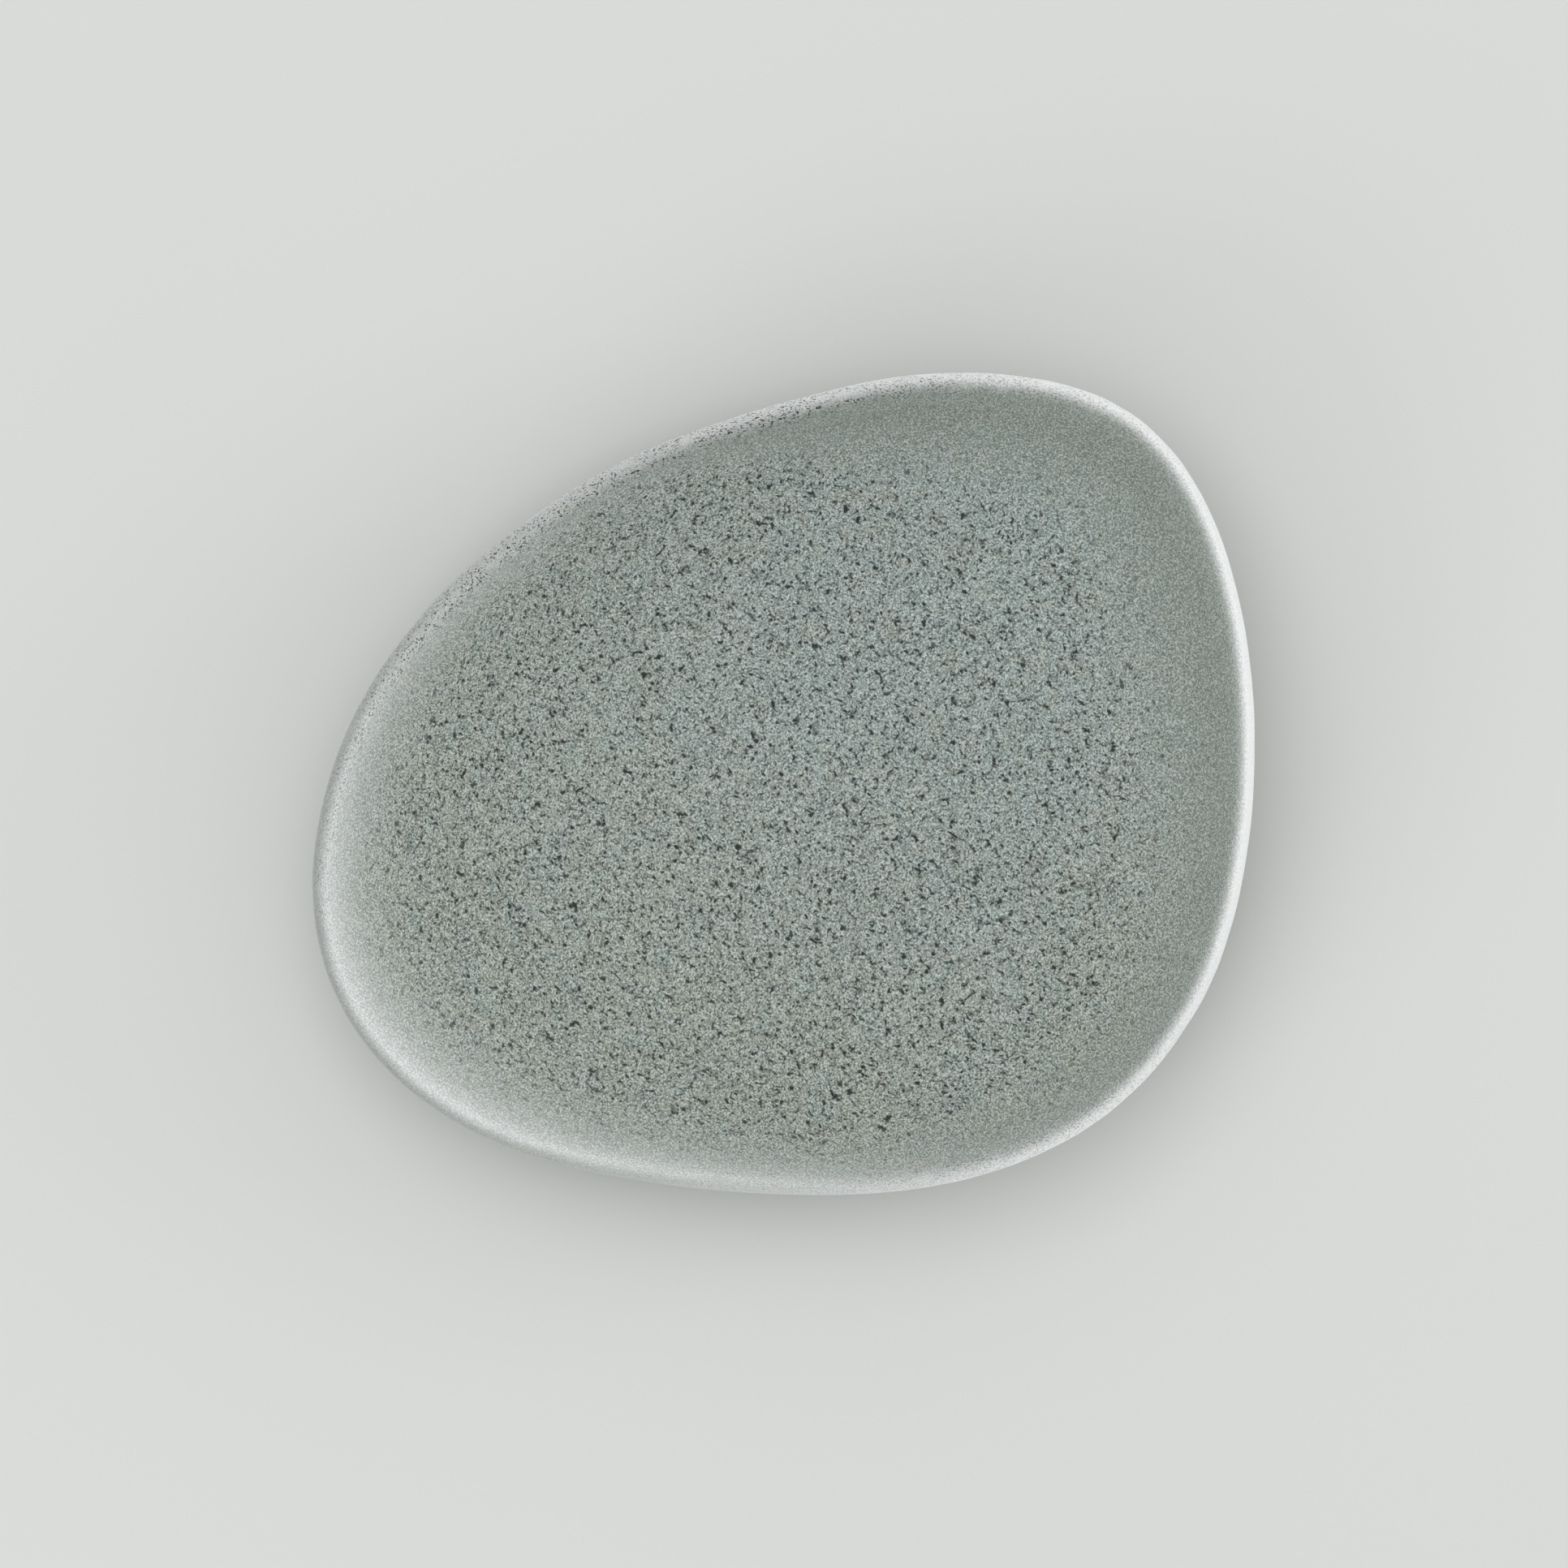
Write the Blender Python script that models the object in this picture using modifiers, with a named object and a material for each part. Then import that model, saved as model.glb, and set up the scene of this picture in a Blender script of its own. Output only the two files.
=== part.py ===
"""Basalt massage stone: one hand-sized pebble with an egg-like outline, domed above and below
and worn flat where it lies.

Metres, +Z up. The origin is on the resting face, under the middle of the outline's box.
The stone is a single piece of rock, so it is a single object.
"""

import math

import bmesh
import bpy
from mathutils import Vector

MM = 0.001

# Driving dimensions of the finished stone
LENGTH = 80 * MM  # the outline along X
WIDTH = 70 * MM  # the outline along Y
THICKNESS = 28 * MM  # from the resting face to the top of the crown
GIRTH_HEIGHT = 12.5 * MM  # mean height of the widest line above the resting face
GIRTH_RISE = 1.2 * MM  # how much higher that line runs on the steep side, and lower opposite
REST_LENGTH = 30 * MM  # the worn flat along X
REST_WIDTH = 26 * MM  # the worn flat along Y
REST_BLEND = 3.5 * MM  # how far the flat runs on before the belly lifts off
REST_CENTRE = Vector((2, -1, 0)) * MM  # the middle of the flat, under the stone's weight
CROWN_OFFSET = Vector((3, 1.5, 0)) * MM  # the crown's top, from the middle of the outline

# Roundness of the two halves. 2 is an ellipse; a larger number is flatter with a tighter edge.
CROWN_FULLNESS = 2.45
BELLY_FULLNESS = 2.25
FULLNESS_SWING = 0.2  # added to both on the steep side, taken off opposite
STEEP_SIDE = math.radians(10)  # direction of the steepest flank, from +X towards +Y

# The outline: its reach from the middle every 22.5 degrees, from +X towards +Y, drawn in a
# plan of this length and width. The plan is stretched to LENGTH and WIDTH.
PLAN_LENGTH = 80
PLAN_WIDTH = 70
OUTLINE_REACH = (
    40, 41.8, 43.4, 37.8, 32.4, 30.6, 31.2, 34.4,
    38.7, 42.1, 40.3, 36.3, 35, 36.8, 39.5, 40,
)

# The cage: one column for each reach, and rows from the middle of the flat up to the crown
COLUMNS = len(OUTLINE_REACH)
FLAT_ROW = 1  # the edge of the flat
BLEND_ROW = 2  # where the belly lifts off
GIRTH_ROW = 6
ROWS = 12
SMOOTHING_LEVELS = 2
FITTING_ROUNDS = 6

STONE_COLOUR = (0.275, 0.309, 0.287, 1)  # pale grey-green
STONE_ROUGHNESS = 0.75


def clear_scene():
    """Removes every object that the scene starts with."""
    for thing in list(bpy.data.objects):
        bpy.data.objects.remove(thing, do_unlink=True)


def outline_point(column):
    """The place in plan of the widest line, in the direction of a column."""
    turn = math.tau * column / COLUMNS
    reach = OUTLINE_REACH[column]
    return Vector(
        (
            reach * math.cos(turn) * LENGTH / PLAN_LENGTH,
            reach * math.sin(turn) * WIDTH / PLAN_WIDTH,
            0,
        )
    )


def flat_point(column, margin):
    """The edge of the resting flat in a column's direction, moved out by a margin."""
    edge = outline_point(column)
    edge.x *= (REST_LENGTH + 2 * margin) / LENGTH
    edge.y *= (REST_WIDTH + 2 * margin) / WIDTH
    return REST_CENTRE + edge


def steepness(column):
    """1 in the direction of the steep side, -1 opposite."""
    return math.cos(math.tau * column / COLUMNS - STEEP_SIDE)


def girth_height(column):
    """How high the widest line runs in a column's direction."""
    return GIRTH_HEIGHT + GIRTH_RISE * steepness(column)


def rounding(column, share, fullness):
    """Shares (in plan, in height) along a quarter of the rounded edge.

    They are (1, 0) on the widest line, where share is 0, and (0, 1) where it is 1.
    """
    angle = share * math.pi / 2
    power = 2 / (fullness + FULLNESS_SWING * steepness(column))
    return max(math.cos(angle), 0) ** power, math.sin(angle) ** power


def crown_point(column, row):
    """A point of the upper half, from the widest line to the top."""
    share = (row - GIRTH_ROW) / (ROWS - GIRTH_ROW)
    in_plan, in_height = rounding(column, share, CROWN_FULLNESS)
    point = CROWN_OFFSET.lerp(outline_point(column), in_plan)
    point.z = girth_height(column) + (THICKNESS - girth_height(column)) * in_height
    return point


def belly_point(column, row):
    """A point of the lower half, from the widest line to where the flat begins."""
    share = (GIRTH_ROW - row) / (GIRTH_ROW - BLEND_ROW)
    in_plan, in_height = rounding(column, share, BELLY_FULLNESS)
    point = flat_point(column, REST_BLEND).lerp(outline_point(column), in_plan)
    point.z = girth_height(column) * (1 - in_height)
    return point


def stone_point(column, row):
    """The place on the stone's surface of one point of the cage."""
    if row == 0:
        return REST_CENTRE.copy()
    if row == FLAT_ROW:
        return flat_point(column, 0)
    if row < GIRTH_ROW:
        return belly_point(column, row)
    return crown_point(column, row)


def make_cage():
    """A ball of columns and rows, each point moved to its place on the stone."""
    cage = bmesh.new()
    bmesh.ops.create_uvsphere(cage, u_segments=COLUMNS, v_segments=ROWS, radius=1)
    for vertex in cage.verts:
        turn = math.atan2(vertex.co.y, vertex.co.x) / math.tau
        rise = math.asin(max(-1, min(1, vertex.co.z))) / math.pi + 0.5
        vertex.co = stone_point(round(turn * COLUMNS) % COLUMNS, round(rise * ROWS))
    bmesh.ops.recalc_face_normals(cage, faces=cage.faces)
    mesh = bpy.data.meshes.new("massage_stone")
    cage.to_mesh(mesh)
    cage.free()
    return mesh


def draw_through_points(stone):
    """Moves the cage outwards until the smoothed surface runs through the stone's own points.

    The smoothed mesh lists the cage's points first. Those of the flat stay where they are.
    """
    cage = stone.data
    wanted = [vertex.co.copy() for vertex in cage.vertices]
    for _ in range(FITTING_ROUNDS):
        smoothed = stone.evaluated_get(bpy.context.evaluated_depsgraph_get())
        for vertex, place, drawn in zip(cage.vertices, wanted, smoothed.data.vertices):
            if place.z > 0:
                vertex.co += place - drawn.co
        cage.update()


def stone_material():
    """Pale grey-green basalt, ground smooth and left unpolished."""
    material = bpy.data.materials.new("basalt")
    material.use_nodes = True
    shader = material.node_tree.nodes["Principled BSDF"]
    shader.inputs["Base Color"].default_value = STONE_COLOUR
    shader.inputs["Roughness"].default_value = STONE_ROUGHNESS
    shader.inputs["Metallic"].default_value = 0
    material.diffuse_color = STONE_COLOUR
    return material


def make_stone(collection):
    """The stone: its cage, its smoothing and its material."""
    mesh = make_cage()
    mesh.shade_smooth()
    mesh.materials.append(stone_material())
    stone = bpy.data.objects.new("massage_stone", mesh)
    collection.objects.link(stone)
    smoothing = stone.modifiers.new("smoothing", "SUBSURF")
    smoothing.levels = SMOOTHING_LEVELS
    smoothing.render_levels = SMOOTHING_LEVELS
    draw_through_points(stone)
    return stone


def main():
    clear_scene()
    collection = bpy.data.collections.new("basalt_massage_stone")
    bpy.context.scene.collection.children.link(collection)
    make_stone(collection)


main()
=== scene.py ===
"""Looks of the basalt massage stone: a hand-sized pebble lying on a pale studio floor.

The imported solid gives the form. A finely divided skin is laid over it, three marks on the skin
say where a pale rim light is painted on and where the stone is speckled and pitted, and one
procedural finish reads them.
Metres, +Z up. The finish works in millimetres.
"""

from __future__ import annotations

import logging
import math
from dataclasses import dataclass, field
from enum import Enum

import bpy
import numpy as np
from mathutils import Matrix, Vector, noise
from mathutils.kdtree import KDTree


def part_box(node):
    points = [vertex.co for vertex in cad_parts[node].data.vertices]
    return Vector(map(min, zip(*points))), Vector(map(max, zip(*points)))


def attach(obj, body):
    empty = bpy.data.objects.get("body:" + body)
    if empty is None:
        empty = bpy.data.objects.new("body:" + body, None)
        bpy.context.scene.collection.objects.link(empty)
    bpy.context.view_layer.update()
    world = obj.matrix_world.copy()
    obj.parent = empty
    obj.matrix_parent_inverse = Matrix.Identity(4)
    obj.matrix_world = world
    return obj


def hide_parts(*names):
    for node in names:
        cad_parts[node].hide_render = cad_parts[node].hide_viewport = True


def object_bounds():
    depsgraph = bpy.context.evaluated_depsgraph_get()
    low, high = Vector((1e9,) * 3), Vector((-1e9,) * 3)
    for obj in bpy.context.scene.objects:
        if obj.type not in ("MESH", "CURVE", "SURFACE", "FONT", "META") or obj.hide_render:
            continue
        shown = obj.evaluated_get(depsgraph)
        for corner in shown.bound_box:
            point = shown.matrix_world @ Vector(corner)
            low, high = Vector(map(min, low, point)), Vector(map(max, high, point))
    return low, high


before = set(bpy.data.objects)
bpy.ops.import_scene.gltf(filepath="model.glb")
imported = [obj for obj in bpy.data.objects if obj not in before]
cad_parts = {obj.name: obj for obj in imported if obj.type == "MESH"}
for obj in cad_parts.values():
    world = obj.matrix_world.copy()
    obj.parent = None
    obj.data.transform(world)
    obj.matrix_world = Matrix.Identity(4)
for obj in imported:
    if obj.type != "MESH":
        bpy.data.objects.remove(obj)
CAD_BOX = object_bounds()

MM = 0.001
STONE_NODE = "massage_stone"
BODY = "root"

log = logging.getLogger("massage_stone")


class Mark(Enum):
    """A value kept at every point of the stone's skin, which the finish reads."""

    # pale colour painted along the rim: a painted highlight at the edge and a painted reflection
    # inside it
    BLOOM = "painted_rim_light"
    SPECKLE = "speckle"
    PITTING = "pitting"


def linear(hex_colour: str) -> tuple[float, float, float, float]:
    """Turns an sRGB hex colour into linear light.

    Args:
        hex_colour: Six hex digits after a #.

    Returns:
        Red, green, blue and an alpha of 1.
    """
    channels = [int(hex_colour[i : i + 2], 16) / 255 for i in (1, 3, 5)]
    red, green, blue = (
        c / 12.92 if c <= 0.04045 else ((c + 0.055) / 1.055) ** 2.4 for c in channels
    )
    return red, green, blue, 1.0


def add_node(
    tree: bpy.types.NodeTree,
    kind: str,
    inputs: dict[str | int, object] | None = None,
    **settings: object,
) -> bpy.types.Node:
    """Adds a shader node with its settings, input values and links.

    Args:
        tree: The material's or world's node tree.
        kind: The node's type without its ShaderNode prefix.
        inputs: What goes into each input that the settings leave in use, by its name or its
            place among them: a value, another node's output, or a node for its first output.
        settings: The node's own properties.

    Returns:
        The new node.
    """
    node = tree.nodes.new("ShaderNode" + kind)
    for name, value in settings.items():
        setattr(node, name, value)
    used = [socket for socket in node.inputs if socket.enabled]
    for key, value in (inputs or {}).items():
        socket = used[key] if isinstance(key, int) else next(s for s in used if s.name == key)
        if isinstance(value, bpy.types.Node):
            value = next(output for output in value.outputs if output.enabled)
        if isinstance(value, bpy.types.NodeSocket):
            tree.links.new(value, socket)
        else:
            socket.default_value = value
    return node


def select_only(thing: bpy.types.Object) -> None:
    """Deselects everything, then selects and activates one object.

    Args:
        thing: The object.
    """
    bpy.ops.object.select_all(action="DESELECT")
    thing.select_set(True)
    bpy.context.view_layer.objects.active = thing


def apply_modifier(thing: bpy.types.Object, kind: str, **settings: object) -> None:
    """Adds a modifier to an object and applies it.

    Args:
        thing: The object.
        kind: The modifier's type.
        settings: The modifier's own properties.
    """
    select_only(thing)
    modifier = thing.modifiers.new(kind.lower(), kind)
    for name, value in settings.items():
        setattr(modifier, name, value)
    bpy.ops.object.modifier_apply(modifier=modifier.name)


@dataclass(frozen=True)
class Lobe:
    """A strength that swells towards one bearing of the outline and is even elsewhere."""

    bearing: float  # degrees from +X towards +Y
    least: float
    most: float
    sharpness: float = 1.0

    def at(self, bearings: np.ndarray) -> np.ndarray:
        """Strengths at bearings given in radians."""
        towards = (1 + np.cos(bearings - math.radians(self.bearing))) / 2
        return self.least + (self.most - self.least) * towards**self.sharpness


@dataclass(frozen=True)
class GirthZones:
    """Where a pale rim light is painted on the stone, and where it is speckled or pitted, by how
    far a point lies inside the outline.

    Insets and widths are in millimetres, seen from above. The painted rim light and the pits die
    out down the flank, over drops and a shoulder measured in height from the widest line, which
    runs at a share of the stone's height.
    """

    widest_line: Lobe = Lobe(bearing=10, least=0.404, most=0.489)
    painted_light_shoulder: float = 2.2  # above the widest line, where the painted rim light starts to fade
    painted_light_drop: float = 3.4
    pits_drop: float = 3.0
    drop_wander: float = 0.5  # share by which both drops wander along the flank
    wander_size: float = 20.0  # how far apart the wanderings are
    # strengths, width and crispness of the painted highlight along the edge
    edge_strengths: tuple[Lobe, ...] = (
        Lobe(bearing=5, least=0.0, most=1.3, sharpness=1.5),
        Lobe(bearing=126, least=0.0, most=0.3, sharpness=8.0),
    )
    edge_width: float = 1.35
    edge_crispness: float = 3.0
    # the ridge is a painted reflection: a soft bright band inside the edge
    ridge_strength: Lobe = Lobe(bearing=214, least=0.08, most=0.6, sharpness=2.4)
    ridge_inset: float = 1.7
    ridge_outer_width: float = 1.0
    ridge_inner_width: Lobe = Lobe(bearing=208, least=1.4, most=2.4, sharpness=10.0)
    plain_inset: Lobe = Lobe(bearing=44, least=0.0, most=4.2, sharpness=3.0)
    speckled_inset: Lobe = Lobe(bearing=44, least=8.0, most=14.5, sharpness=3.0)
    speckled_nearer: tuple[Lobe, ...] = (
        Lobe(bearing=108, least=0.0, most=6.5, sharpness=6.0),
        Lobe(bearing=272, least=0.0, most=2.2, sharpness=12.0),
    )
    pitted_side: Lobe = Lobe(bearing=118, least=0.0, most=1.3, sharpness=3.5)
    pitted_under: Lobe = Lobe(bearing=305, least=0.0, most=0.5, sharpness=14.0)
    pitted_to: float = 2.6
    pitted_fade: float = 0.8

    def painted_rim_light(self, inset: np.ndarray, bearing: np.ndarray, below: np.ndarray) -> np.ndarray:
        """How strongly rim light is painted on: a painted highlight at the edge, and a softer
        painted reflection, a ridge, inside it.

        Args:
            inset: How far points lie inside the outline.
            bearing: Their bearings from the middle, in radians.
            below: How far they lie below the widest line, negative above it.

        Returns:
            A strength from 0 to 1 for each point.
        """
        edge = sum(lobe.at(bearing) for lobe in self.edge_strengths)
        edge = edge * np.exp(-((inset / self.edge_width) ** self.edge_crispness))
        past = inset - self.ridge_inset
        outside = np.exp(-((past / self.ridge_outer_width) ** 2))
        inside = np.exp(-np.abs(past) / self.ridge_inner_width.at(bearing))
        ridge = self.ridge_strength.at(bearing) * np.where(past < 0, outside, inside)
        faded = np.maximum(below + self.painted_light_shoulder, 0) / self.painted_light_drop
        return np.clip(edge + ridge, 0, 1) * np.exp(-(faded**2))

    def speckle(self, inset: np.ndarray, bearing: np.ndarray) -> np.ndarray:
        """How much the dark crystals show.

        Args:
            inset: How far points lie inside the outline.
            bearing: Their bearings from the middle, in radians.

        Returns:
            A strength for each point, from 0 at the rim to 1 over the middle.
        """
        nearer = sum(lobe.at(bearing) for lobe in self.speckled_nearer)
        plain = self.plain_inset.at(bearing)
        share = (inset - plain) / (self.speckled_inset.at(bearing) - nearer - plain)
        return np.clip(share, 0, 1)

    def pitting(self, inset: np.ndarray, bearing: np.ndarray, below: np.ndarray) -> np.ndarray:
        """How much the rim is pitted.

        Args:
            inset: How far points lie inside the outline.
            bearing: Their bearings from the middle, in radians.
            below: How far they lie below the widest line, negative above it.

        Returns:
            A strength from 0 to 1 for each point.
        """
        near = np.clip((self.pitted_to - inset) / self.pitted_fade, 0, 1)
        side = self.pitted_side.at(bearing) + self.pitted_under.at(bearing)
        faded = np.maximum(below, 0) / self.pits_drop
        return near * np.clip(side, 0, 1) * np.exp(-(faded**2))


@dataclass(frozen=True)
class Habit:
    """How one mineral shows in the ground face: its colour, how coarse, lying which way."""

    tint: str
    size_mm: float  # spacing of the lumps
    edge: float  # level of the pattern where a grain begins
    core: float  # level where it is full
    turn: tuple[float, float, float]  # radians; askew, so that no lattice shows
    stretch: tuple[float, float, float] = (1.0, 1.3, 1.0)
    strength: float = 1.0

    def draw(self, tree: bpy.types.NodeTree, place: bpy.types.Node) -> bpy.types.Node:
        """Scatters the mineral.

        Args:
            tree: The material's node tree.
            place: Where on the stone, in millimetres.

        Returns:
            A node that gives the strength in a grain and 0 outside.
        """
        cell = tuple(self.size_mm * times for times in self.stretch)
        turned = {0: place, "Rotation": self.turn, "Scale": cell}
        turned = add_node(tree, "Mapping", turned, vector_type="TEXTURE")
        lumps = add_node(tree, "TexNoise", {0: turned, "Scale": 1.0, "Detail": 1.0})
        levels = {0: lumps, "From Min": self.edge, "From Max": self.core, "To Max": self.strength}
        return add_node(tree, "MapRange", levels, interpolation_type="SMOOTHSTEP")


@dataclass(frozen=True)
class GroundBasalt:
    """Fine-grained basalt, ground and tumbled but not polished.

    Its matt surface shows a salt-like grain, dark crystals cut through at every angle and soft
    clouds of cooler and warmer grey. Towards the rim the crystals and grain thin out, the ground is
    darkened as painted shade, and a pale painted highlight and painted reflection lie along the
    rim. Part of such a rock's grain is finer than this, and it is drawn as coarse as it needs to
    show.
    """

    cool_body: str = "#7B8988"
    warm_body: str = "#828779"
    # the crystal-free ground near the rim, its darkness painted shade where the flank turns from
    # the light
    painted_shade_body: str = "#686F66"
    # colour of the painted highlight and painted reflection along the rim
    painted_rim_light: str = "#F4F6F7"
    cool_heart: tuple[float, float, float] = (12.0, 15.0, 26.0)  # the coolest place, in mm
    heart_reach: float = 46.0  # how far from it the grey is warm, in mm
    cloud_mm: float = 15.0
    cloud_detail: float = 3.0
    cloud_swing: float = 0.6  # how far the clouds turn the grey warmer or cooler
    patches: tuple[Habit, ...] = (
        Habit("#74837F", 2.2, 0.45, 0.68, (0.1, 0.7, 0.4), strength=0.65),
        Habit("#828477", 1.6, 0.5, 0.72, (0.6, 0.2, 0.3), strength=0.6),
    )
    light: Habit = Habit("#B2BAB7", 0.14, 0.38, 0.68, (0.5, 0.3, 0.9))
    dark: Habit = Habit("#444D49", 0.155, 0.46, 0.74, (0.8, 0.4, 0.2))
    rust: Habit = Habit("#5C4C3C", 0.6, 0.68, 0.8, (0.2, 0.9, 0.5), strength=0.6)
    crystal: str = "#1B2321"
    lumps: Habit = Habit(crystal, 0.48, 0.575, 0.75, (0.4, 0.6, 0.7))
    needles: Habit = Habit(crystal, 0.41, 0.585, 0.77, (0.3, 0.5, 1.2), (0.8, 1.6, 0.8))
    crossing_needles: Habit = Habit(crystal, 0.41, 0.585, 0.77, (0.5, 0.3, 2.6), (0.8, 1.6, 0.8))
    flecks: Habit = Habit(crystal, 0.29, 0.55, 0.82, (0.5, 0.7, 0.2), strength=0.5)
    pinholes: Habit = Habit("#161A19", 0.2, 0.56, 0.63, (0.2, 0.15, 0.4), (1.0, 1.0, 1.8))
    cluster_mm: float = 2.4
    cluster_edge: float = 0.32  # level of the pattern where a cluster of pinholes begins
    cluster_core: float = 0.46
    rim_grain: float = 0.55  # how much of the grain is left at the rim
    painted_light_least: float = 0.85  # the painted rim light's strength between light grains
    painted_light_most: float = 1.35  # and on them
    grain_rise: float = 0.2  # heights and depths as shares of relief_mm
    crystal_depth: float = 0.35
    pinhole_depth: float = 1.5
    relief_mm: float = 0.06
    relief_strength: float = 0.5
    roughness: float = 0.7
    refraction: float = 1.5
    gloss: float = 0.35
    sheen: float = 0.5
    sheen_roughness: float = 0.25

    def material(self) -> bpy.types.Material:
        """Builds the finish.

        Returns:
            The material.
        """
        material = bpy.data.materials.new("ground_basalt")
        material.use_nodes = True
        tree = material.node_tree
        tree.nodes.clear()
        place = add_node(tree, "TexCoord").outputs["Object"]
        place = add_node(tree, "VectorMath", {0: place, "Scale": 1 / MM}, operation="SCALE")
        marks = {
            mark: add_node(tree, "Attribute", attribute_name=mark.value).outputs["Fac"]
            for mark in Mark
        }
        grain_share = {0: marks[Mark.SPECKLE], "To Min": self.rim_grain}
        grain_share = add_node(tree, "MapRange", grain_share)
        light = self.light.draw(tree, place)
        grainy = {0: light, "To Min": self.painted_light_least, "To Max": self.painted_light_most}
        grainy = add_node(tree, "MapRange", grainy)
        crystals = self.crystals(tree, place, marks[Mark.SPECKLE])
        pits = self.pits(tree, place, marks[Mark.PITTING])
        colour = self.body_colour(tree, place, marks[Mark.SPECKLE])
        layers = (
            (light, grain_share, self.light.tint),
            (self.dark.draw(tree, place), grain_share, self.dark.tint),
            (self.rust.draw(tree, place), 1.0, self.rust.tint),
            (crystals, 1.0, self.crystal),
            # the painted rim light: painted highlight and reflection laid on as pale colour
            (marks[Mark.BLOOM], grainy, self.painted_rim_light),
            (pits, 1.0, self.pinholes.tint),
        )
        for layer, share, tint in layers:
            both = {0: layer, 1: share}
            share = add_node(tree, "Math", both, operation="MULTIPLY", use_clamp=True)
            mixed = {"Factor": share, "A": colour, "B": linear(tint)}
            colour = add_node(tree, "Mix", mixed, data_type="RGBA")
        surface = {
            "Base Color": colour,
            "Roughness": self.roughness,
            "IOR": self.refraction,
            "Specular IOR Level": self.gloss,
            "Sheen Weight": self.sheen,
            "Sheen Roughness": self.sheen_roughness,
            "Normal": self.relief(tree, light, crystals, pits),
        }
        shader = add_node(tree, "BsdfPrincipled", surface)
        add_node(tree, "OutputMaterial", {"Surface": shader})
        return material

    def body_colour(
        self, tree: bpy.types.NodeTree, place: bpy.types.Node, speckle: bpy.types.NodeSocket
    ) -> bpy.types.Node:
        """Cool grey about the heart, warmer away from it and darker towards the rim, which is
        painted shade, with patches.

        Args:
            tree: The material's node tree.
            place: Where on the stone, in millimetres.
            speckle: The speckle mark, which is 0 at the rim.

        Returns:
            A node that gives the colour between the grains.
        """
        away = add_node(tree, "VectorMath", {0: place, 1: self.cool_heart}, operation="DISTANCE")
        warmth = add_node(tree, "MapRange", {0: away, "From Max": self.heart_reach})
        clouds = {0: place, "Scale": 1 / self.cloud_mm, "Detail": self.cloud_detail}
        clouds = add_node(tree, "TexNoise", clouds)
        clouds = {0: clouds, "To Min": -self.cloud_swing, "To Max": self.cloud_swing}
        clouds = add_node(tree, "MapRange", clouds)
        warmth = add_node(tree, "Math", {0: warmth, 1: clouds}, operation="ADD", use_clamp=True)
        mixed = {"Factor": warmth, "A": linear(self.cool_body), "B": linear(self.warm_body)}
        colour = add_node(tree, "Mix", mixed, data_type="RGBA")
        for patch in self.patches:
            mixed = {"Factor": patch.draw(tree, place), "A": colour, "B": linear(patch.tint)}
            colour = add_node(tree, "Mix", mixed, data_type="RGBA")
        # towards the rim the ground turns darker: painted shade where the flank turns from the
        # light
        mixed = {"Factor": speckle, "A": linear(self.painted_shade_body), "B": colour}
        return add_node(tree, "Mix", mixed, data_type="RGBA")

    def crystals(
        self, tree: bpy.types.NodeTree, place: bpy.types.Node, speckle: bpy.types.NodeSocket
    ) -> bpy.types.Node:
        """Dark crystals of every habit together, fewer and fainter towards the rim.

        Args:
            tree: The material's node tree.
            place: Where on the stone, in millimetres.
            speckle: The speckle mark.

        Returns:
            A node that gives 1 in the heart of a crystal and 0 outside.
        """
        together = 0.0
        for habit in (self.lumps, self.needles, self.crossing_needles, self.flecks):
            drawn = habit.draw(tree, place)
            together = add_node(tree, "Math", {0: drawn, 1: together}, operation="MAXIMUM")
        missing = add_node(tree, "Math", {0: 1.0, 1: speckle}, operation="SUBTRACT")
        fewer = {0: together, 1: missing}
        return add_node(tree, "Math", fewer, operation="SUBTRACT", use_clamp=True)

    def pits(
        self, tree: bpy.types.NodeTree, place: bpy.types.Node, pitting: bpy.types.NodeSocket
    ) -> bpy.types.Node:
        """Pinholes where crystals have fallen out, in loose clusters.

        Args:
            tree: The material's node tree.
            place: Where on the stone, in millimetres.
            pitting: The pitting mark.

        Returns:
            A node that gives 1 in a hole and 0 outside.
        """
        cluster = add_node(tree, "TexNoise", {0: place, "Scale": 1 / self.cluster_mm})
        cluster = {0: cluster, "From Min": self.cluster_edge, "From Max": self.cluster_core}
        cluster = add_node(tree, "MapRange", cluster)
        holes = self.pinholes.draw(tree, place)
        holes = add_node(tree, "Math", {0: holes, 1: cluster}, operation="MULTIPLY")
        return add_node(tree, "Math", {0: holes, 1: pitting}, operation="MULTIPLY")

    def relief(
        self,
        tree: bpy.types.NodeTree,
        grain: bpy.types.Node,
        crystals: bpy.types.Node,
        pits: bpy.types.Node,
    ) -> bpy.types.Node:
        """Light grains stand proud, crystals lie a little lower and pinholes are deep.

        Args:
            tree: The material's node tree.
            grain: Strength of the light grain.
            crystals: Strength of the crystals.
            pits: Strength of the pinholes.

        Returns:
            A node that gives the surface's normal.
        """
        height = add_node(tree, "Math", {0: grain, 1: self.grain_rise}, operation="MULTIPLY")
        for hollow, depth in ((crystals, self.crystal_depth), (pits, self.pinhole_depth)):
            lower = add_node(tree, "Math", {0: hollow, 1: depth}, operation="MULTIPLY")
            height = add_node(tree, "Math", {0: height, 1: lower}, operation="SUBTRACT")
        bump = {"Height": height, "Strength": self.relief_strength, "Distance": self.relief_mm * MM}
        return add_node(tree, "Bump", bump)


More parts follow.
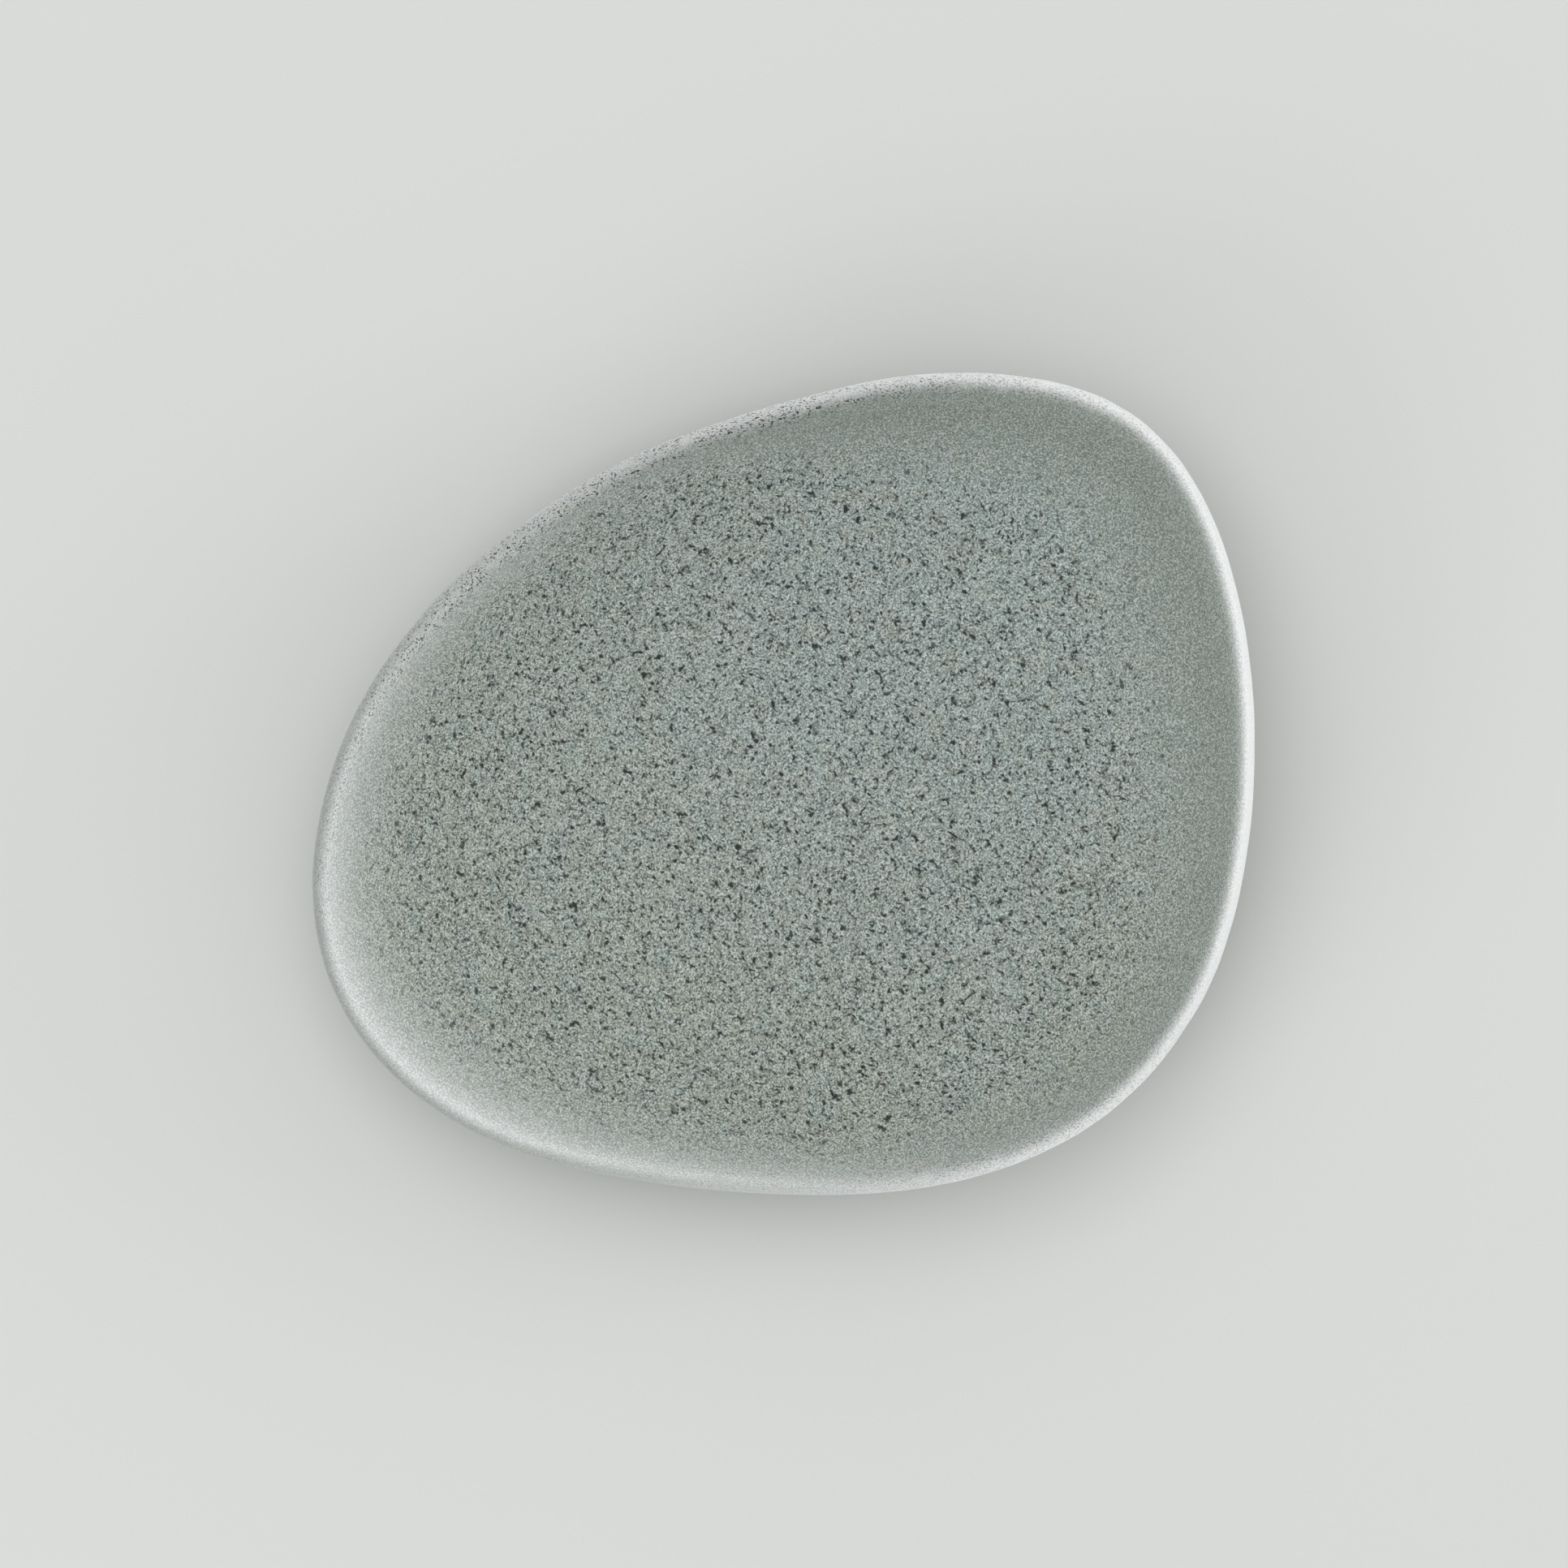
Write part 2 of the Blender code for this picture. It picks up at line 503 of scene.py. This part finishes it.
@dataclass
class StoneSkin:
    """The visible stone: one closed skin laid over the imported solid."""

    cage_cuts: int = 26
    merge_distance: float = 0.001 * MM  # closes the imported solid's loose triangles
    relaxings: int = 8  # rounds of drawing onto the solid and evening out
    evening: float = 0.5
    evening_repeats: int = 4
    smoothing: int = 2
    rest_height: float = 0.4 * MM  # the swells start above this height
    rest_blend: float = 3.0 * MM
    broad_size: float = 24 * MM
    broad_depth: float = 0.5 * MM
    small_size: float = 5 * MM
    small_depth: float = 0.07 * MM
    outline_sectors: int = 240  # the outline is read from the furthest point of each sector
    outline_steps: int = 1440  # and then followed in this many steps
    zones: GirthZones = field(default_factory=GirthZones)
    finish: GroundBasalt = field(default_factory=GroundBasalt)

    def build(self) -> bpy.types.Object:
        """Builds, marks and dresses the stone.

        Returns:
            The finished stone.
        """
        stone = self.divided_ball()
        self.lay_on_solid(stone)
        self.swell(stone)
        bpy.ops.object.shade_smooth()
        self.mark(stone)
        stone.data.materials.clear()
        stone.data.materials.append(self.finish.material())
        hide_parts(STONE_NODE)
        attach(stone, BODY)
        return stone

    def divided_ball(self) -> bpy.types.Object:
        """An evenly divided ball, squashed to fill the solid's box.

        Returns:
            The ball, with its place in its mesh.
        """
        low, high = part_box(STONE_NODE)
        bpy.ops.object.select_all(action="DESELECT")
        bpy.ops.mesh.primitive_cube_add(size=2, location=(0, 0, 0))
        ball = bpy.context.active_object
        ball.name = ball.data.name = "ground_stone"
        bpy.ops.object.mode_set(mode="EDIT")
        bpy.ops.mesh.select_all(action="SELECT")
        bpy.ops.mesh.subdivide(number_cuts=self.cage_cuts)
        bpy.ops.transform.tosphere(value=1.0)
        half = (high - low) / 2
        bpy.ops.transform.resize(value=half, center_override=(0, 0, 0))
        bpy.ops.transform.translate(value=(low + high) / 2)
        bpy.ops.object.mode_set(mode="OBJECT")
        return ball

    def lay_on_solid(self, ball: bpy.types.Object) -> None:
        """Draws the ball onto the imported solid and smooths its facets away.

        Args:
            ball: The divided ball.
        """
        solid = bpy.data.objects.new("solid_to_follow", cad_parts[STONE_NODE].data.copy())
        bpy.context.scene.collection.objects.link(solid)
        select_only(solid)
        bpy.ops.object.mode_set(mode="EDIT")
        bpy.ops.mesh.select_all(action="SELECT")
        bpy.ops.mesh.remove_doubles(threshold=self.merge_distance)
        bpy.ops.object.mode_set(mode="OBJECT")
        for _ in range(self.relaxings):
            apply_modifier(ball, "SHRINKWRAP", target=solid, wrap_method="NEAREST_SURFACEPOINT")
            apply_modifier(ball, "SMOOTH", factor=self.evening, iterations=self.evening_repeats)
        apply_modifier(ball, "SHRINKWRAP", target=solid, wrap_method="NEAREST_SURFACEPOINT")
        levels = {"levels": self.smoothing, "render_levels": self.smoothing}
        apply_modifier(ball, "SUBSURF", **levels)
        bpy.data.objects.remove(solid)

    def swell(self, stone: bpy.types.Object) -> None:
        """Gives the skin the soft unevenness of tumbled rock, but not where it rests.

        Args:
            stone: The skin.
        """
        group = stone.vertex_groups.new(name="free_of_the_floor")
        for vertex in stone.data.vertices:
            share = (vertex.co.z - self.rest_height) / self.rest_blend
            group.add([vertex.index], max(0.0, min(1.0, share)), "REPLACE")
        sizes = ((self.broad_size, self.broad_depth), (self.small_size, self.small_depth))
        for size, depth in sizes:
            lumps = bpy.data.textures.new("tumbled_swells", "CLOUDS")
            lumps.noise_scale = size
            apply_modifier(
                stone,
                "DISPLACE",
                texture=lumps,
                texture_coords="LOCAL",
                strength=depth,
                vertex_group=group.name,
            )

    def mark(self, stone: bpy.types.Object) -> None:
        """Works out the three marks at every point of the skin.

        Args:
            stone: The skin.
        """
        mesh = stone.data
        points = np.empty(len(mesh.vertices) * 3, np.float32)
        mesh.vertices.foreach_get("co", points)
        points = points.reshape(-1, 3).astype(float) / MM
        plan, height = points[:, :2], points[:, 2]
        bearing = np.arctan2(plan[:, 1], plan[:, 0])
        inset = self.insets(plan, bearing)
        low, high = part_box(STONE_NODE)
        widest = self.zones.widest_line.at(bearing) * (high.z - low.z) / MM
        wander = np.array([noise.noise(Vector(p) / self.zones.wander_size) for p in points])
        below = (widest - height) * (1 + self.zones.drop_wander * wander)
        values = {
            # the painted rim light: painted highlight and painted reflection as pale colour
            Mark.BLOOM: self.zones.painted_rim_light(inset, bearing, below),
            Mark.SPECKLE: self.zones.speckle(inset, bearing),
            Mark.PITTING: self.zones.pitting(inset, bearing, below),
        }
        for mark, value in values.items():
            layer = mesh.attributes.new(mark.value, "FLOAT", "POINT")
            layer.data.foreach_set("value", value.astype(np.float32))

    def insets(self, plan: np.ndarray, bearing: np.ndarray) -> np.ndarray:
        """How far each point lies inside the outline, seen from above, in millimetres.

        Args:
            plan: The points' places in plan.
            bearing: Their bearings from the middle.

        Returns:
            The distance to the nearest point of the outline.
        """
        sectors = self.outline_sectors
        reach = np.hypot(plan[:, 0], plan[:, 1])
        sector = np.floor((bearing % math.tau) / math.tau * sectors).astype(int) % sectors
        furthest = [int(np.where(sector == s, reach, 0).argmax()) for s in range(sectors)]
        turns = bearing[furthest] % math.tau
        order = np.argsort(turns)
        every = np.arange(self.outline_steps) * math.tau / self.outline_steps
        edge = np.interp(every, turns[order], reach[furthest][order], period=math.tau)
        tree = KDTree(self.outline_steps)
        for index, (turn, radius) in enumerate(zip(every, edge)):
            tree.insert((radius * math.cos(turn), radius * math.sin(turn), 0), index)
        tree.balance()
        return np.array([tree.find((x, y, 0))[2] for x, y in plan])


@dataclass(frozen=True)
class SeamlessPaper:
    """Matt studio paper: an even pale grey with the faintest cloudiness."""

    colour: str = "#CDCECC"
    shade: str = "#C9CAC8"
    cloud_size: float = 125 * MM
    cloud_detail: float = 2.0
    roughness: float = 0.9

    def material(self) -> bpy.types.Material:
        """Builds the finish.

        Returns:
            The material.
        """
        material = bpy.data.materials.new("seamless_paper")
        material.use_nodes = True
        tree = material.node_tree
        tree.nodes.clear()
        place = add_node(tree, "TexCoord").outputs["Object"]
        clouds = {0: place, "Scale": 1 / self.cloud_size, "Detail": self.cloud_detail}
        clouds = add_node(tree, "TexNoise", clouds)
        mixed = {"Factor": clouds, "A": linear(self.colour), "B": linear(self.shade)}
        colour = add_node(tree, "Mix", mixed, data_type="RGBA")
        shader = add_node(
            tree, "BsdfPrincipled", {"Base Color": colour, "Roughness": self.roughness}
        )
        add_node(tree, "OutputMaterial", {"Surface": shader})
        return material


@dataclass(frozen=True)
class Softbox:
    """A square lamp with a diffusing cloth, aimed at the stone."""

    name: str
    bearing: float  # degrees from +X towards +Y
    elevation: float  # degrees above the floor
    distance: float
    side: float
    power: float  # watts

    def build(self, target: Vector) -> None:
        """Places the lamp.

        Args:
            target: The point it is aimed at.
        """
        turn, rise = math.radians(self.bearing), math.radians(self.elevation)
        away = Vector(
            (math.cos(turn) * math.cos(rise), math.sin(turn) * math.cos(rise), math.sin(rise))
        )
        lamp = bpy.data.lights.new(self.name, "AREA")
        lamp.shape = "SQUARE"
        lamp.size = self.side
        lamp.energy = self.power
        box = bpy.data.objects.new(self.name, lamp)
        box.location = target + away * self.distance
        box.rotation_euler = away.to_track_quat("Z", "Y").to_euler()
        box.visible_camera = False
        bpy.context.scene.collection.objects.link(box)


@dataclass
class Studio:
    """The pale floor, the soft lights and the camera straight above the stone."""

    floor_side: float = 12.0
    sky: str = "#DADBDA"
    sky_strength: float = 0.95
    lens: float = 120.0
    sensor: float = 36.0
    stone_share: float = 0.6028  # of the picture's width that the stone spans
    camera_aside: float = 0.2 * MM  # how far the camera hangs from the middle towards +X
    boxes: tuple[Softbox, ...] = (
        Softbox("overhead", bearing=120, elevation=80, distance=0.9, side=0.7, power=3.5),
        Softbox("right", bearing=10, elevation=18, distance=0.6, side=0.3, power=0.7),
        Softbox("lower_left", bearing=222, elevation=30, distance=0.7, side=0.4, power=0.95),
    )
    paper: SeamlessPaper = field(default_factory=SeamlessPaper)

    def build(self) -> None:
        """Builds floor, sky, lights and camera."""
        low, high = CAD_BOX
        self.floor()
        self.light_sky()
        for box in self.boxes:
            box.build((low + high) / 2)
        self.camera(low, high)
        bpy.context.scene.view_settings.view_transform = "Standard"

    def floor(self) -> None:
        """Lays the floor at the height that the stone rests on."""
        bpy.ops.object.select_all(action="DESELECT")
        bpy.ops.mesh.primitive_plane_add(size=self.floor_side, location=(0, 0, 0))
        floor = bpy.context.active_object
        floor.name = "studio_floor"
        floor.data.materials.append(self.paper.material())

    def light_sky(self) -> None:
        """Fills the studio with even light from all round."""
        world = bpy.data.worlds.new("studio_sky")
        world.use_nodes = True
        tree = world.node_tree
        tree.nodes.clear()
        glow = add_node(
            tree, "Background", {"Color": linear(self.sky), "Strength": self.sky_strength}
        )
        add_node(tree, "OutputWorld", {"Surface": glow})
        bpy.context.scene.world = world

    def camera(self, low: Vector, high: Vector) -> None:
        """Hangs a long-lensed camera straight above the middle of the stone.

        Args:
            low: The stone's lowest corner.
            high: Its highest corner.
        """
        lens = bpy.data.cameras.new("overhead_camera")
        lens.lens = self.lens
        lens.sensor_width = self.sensor
        middle = (low + high) / 2
        width = (high.x - low.x) / self.stone_share
        camera = bpy.data.objects.new("overhead_camera", lens)
        camera.location = middle + Vector((self.camera_aside, 0, width * self.lens / self.sensor))
        bpy.context.scene.collection.objects.link(camera)
        bpy.context.scene.camera = camera


def main() -> None:
    """Builds the studio and the stone, and logs the stone's face count."""
    logging.basicConfig(level=logging.INFO, format="%(name)s: %(message)s")
    Studio().build()
    log.info("studio ready")
    stone = StoneSkin().build()
    log.info("%s: %d faces", stone.name, len(stone.data.polygons))


if __name__ == "__main__":
    main()
